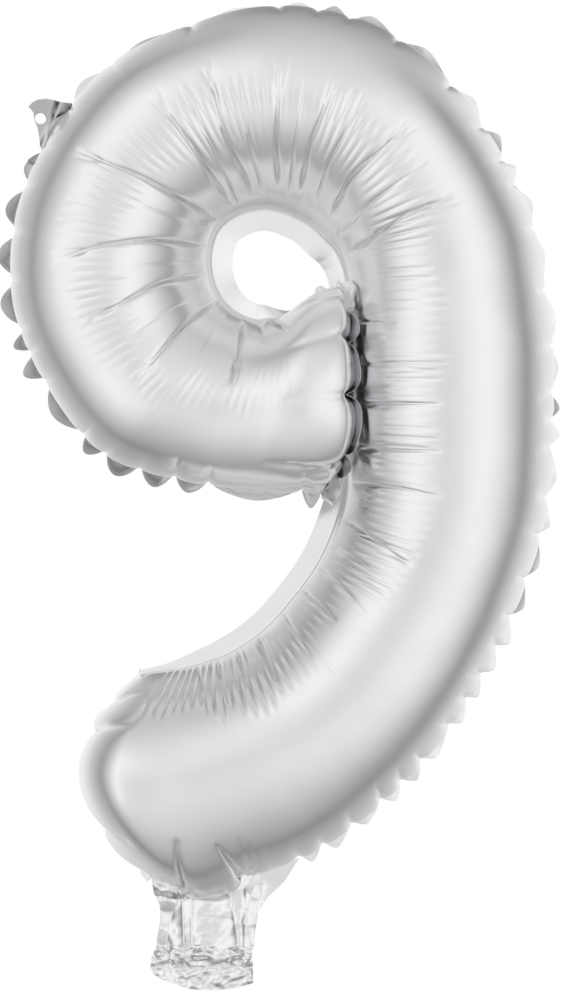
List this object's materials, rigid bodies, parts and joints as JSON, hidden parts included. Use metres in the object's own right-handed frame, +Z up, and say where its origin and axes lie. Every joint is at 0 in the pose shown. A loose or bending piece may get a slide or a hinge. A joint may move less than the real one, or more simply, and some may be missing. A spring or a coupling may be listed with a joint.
{
  "type": "foil number balloon",
  "caption": "Air-filled foil balloon shaped as the digit nine, with a gathered heat-sealed edge, a punched hanging tab, and a neck with a self-sealing valve that takes a straw.",
  "frame": {"origin": "centre of the punched hole in the hanging tab, at mid thickness", "axes": "+Z up the digit, +X to the digit's right as it is read, +Y away from the reader; the front faces -Y"},
  "size_m": [0.2288, 0.0785, 0.399],
  "materials": {
    "foil_front": "satin silver metallised film",
    "foil_back": "satin silver metallised film",
    "valve_film": "clear soft polyethylene film"
  },
  "bodies": {
    "balloon": {"front_panel": "foil_front", "back_panel": "foil_back"},
    "neck": {"neck_front_wall": "foil_front", "neck_back_wall": "foil_back", "valve_front_sleeve": "valve_film", "valve_back_sleeve": "valve_film"},
    "front_leaf": {"valve_front_leaf": "valve_film"},
    "back_leaf": {"valve_back_leaf": "valve_film"},
    "tab": {"hang_tab": "foil_front"}
  },
  "joints": [
    {"name": "neck_fold", "type": "hinge", "parent": "balloon", "child": "neck", "pos_m": [0.0665, 0, -0.3175], "axis": [1, 0, 0], "range_deg": [-85, 85], "stiffness_Nm_per_rad": 0.0003},
    {"name": "tab_fold", "type": "hinge", "parent": "balloon", "child": "tab", "pos_m": [0.004, 0, -0.001], "axis": [0.41, 0, 0.9121], "range_deg": [-70, 70], "stiffness_Nm_per_rad": 0.0001},
    {"name": "front_leaf_open", "type": "hinge", "parent": "balloon", "child": "front_leaf", "pos_m": [0.0665, -0.0005, -0.3125], "axis": [1, 0, 0], "range_deg": [0, 4], "stiffness_Nm_per_rad": 0.0005},
    {"name": "back_leaf_open", "type": "hinge", "parent": "balloon", "child": "back_leaf", "pos_m": [0.0665, 0.0005, -0.3125], "axis": [1, 0, 0], "range_deg": [-4, 0], "stiffness_Nm_per_rad": 0.0005}
  ],
  "couplings": [
    {"joint": "back_leaf_open", "follows": "front_leaf_open", "ratio": -1}
  ]
}
